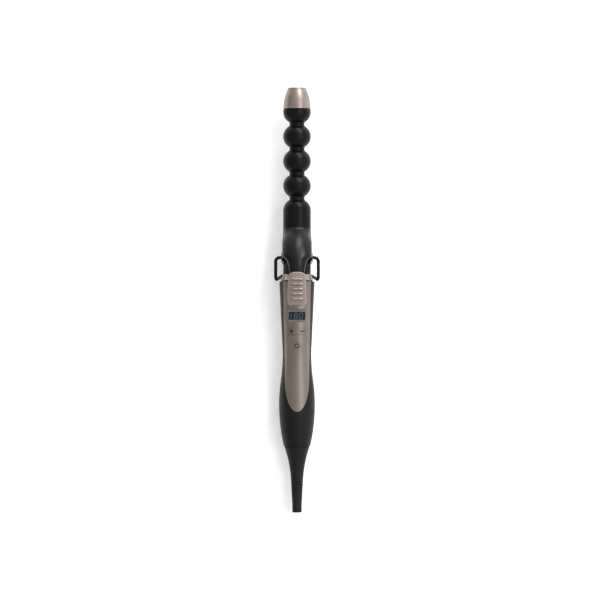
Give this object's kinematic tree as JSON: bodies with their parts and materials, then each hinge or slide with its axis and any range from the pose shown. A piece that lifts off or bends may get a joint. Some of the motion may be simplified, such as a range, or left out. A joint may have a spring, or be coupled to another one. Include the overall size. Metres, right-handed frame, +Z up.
{
  "type": "curling wand",
  "caption": "Hair curling wand with a bead barrel, thumb-lever clip, cool tip, swing-out wire stand, display handle and swivelling cord boot.",
  "frame": {"origin": "centre of the bounding box in plan, on the surface that the wand rests on when it lies on its folded stand and its belly", "axes": "+X along the wand towards the cool tip, +Z up on the side of the clip lever and the display, +Y across"},
  "size_m": [0.3822, 0.0414, 0.0701],
  "materials": {
    "black_coating": "satin ceramic-coated aluminium",
    "champagne": "champagne metallic satin lacquer",
    "black_plastic": "soft-touch matte",
    "black_metal": "black satin",
    "black_rubber": "matte",
    "window": "dark tinted gloss",
    "insulator": "moulded",
    "ceramic": "fired",
    "aluminium": "drawn",
    "steel": "plated",
    "brass": "turned",
    "board": "solder mask",
    "insulated_wire": "silicone"
  },
  "bodies": {
    "wand": {"base_plug": "steel", "board_carrier": "black_plastic", "board_screws": "steel", "brush_contacts": "brass", "brush_holder": "black_plastic", "capacitor": "insulator", "circuit_board": "board", "display_module": "black_plastic", "heat_spreaders": "aluminium", "heater_holder": "ceramic", "heater_leads": "insulated_wire", "heater_rod": "ceramic", "mains_leads": "insulated_wire", "microcontroller": "black_plastic", "mount_screws": "steel", "pivot_block": "steel", "swivel_bush": "insulator", "tact_switches": "black_plastic", "thermal_fuse": "steel", "thermistor": "ceramic", "tip_core": "insulator", "tip_screw": "steel", "triac": "black_plastic", "barrel": "black_coating", "barrel_mount": "black_plastic", "collar_ring": "champagne", "control_panel": "champagne", "cool_tip": "champagne", "display_window": "window", "handle_body": "black_plastic", "pivot_pins": "black_metal", "tail_cap": "black_plastic"},
    "clip": {"clip_lever": "black_plastic", "clip_plate": "black_coating", "clip_rivets": "steel", "clip_spring": "steel", "thumb_rest": "champagne", "thumb_screws": "steel"},
    "stand": {"stand_wire": "black_metal"},
    "cord_boot": {"strain_relief": "black_rubber", "swivel_retainer": "steel", "slip_rings": "brass"},
    "rocker": {"rocker_button": "champagne"},
    "power_key": {"power_button": "champagne"}
  },
  "joints": [
    {"name": "clip_hinge", "type": "hinge", "parent": "wand", "child": "clip", "pos_m": [0.03821, 0, 0.0212], "axis": [0, -1, 0], "range_deg": [0, 25], "stiffness_Nm_per_rad": 0.25, "springref_deg": -17.19, "deforming": ["clip_spring"]},
    {"name": "stand_hinge", "type": "hinge", "parent": "wand", "child": "stand", "pos_m": [0.03821, 0, 0.0212], "axis": [0, -1, 0], "range_deg": [0, 90]},
    {"name": "cord_swivel", "type": "hinge", "parent": "wand", "child": "cord_boot", "pos_m": [-0.13098, 0, 0.01487], "axis": [0.9993, 0, 0.0374], "continuous": true},
    {"name": "rocker_tilt", "type": "hinge", "parent": "wand", "child": "rocker", "pos_m": [-0.02818, 0, 0.02772], "axis": [0.9993, 0, 0.0374], "range_deg": [-3, 3], "stiffness_Nm_per_rad": 0.14},
    {"name": "power_press", "type": "slide", "parent": "wand", "child": "power_key", "axis": [0.0374, 0, -0.9993], "range_m": [0, 0.0005], "stiffness_N_per_m": 1500, "springref_m": -0.0003}
  ]
}
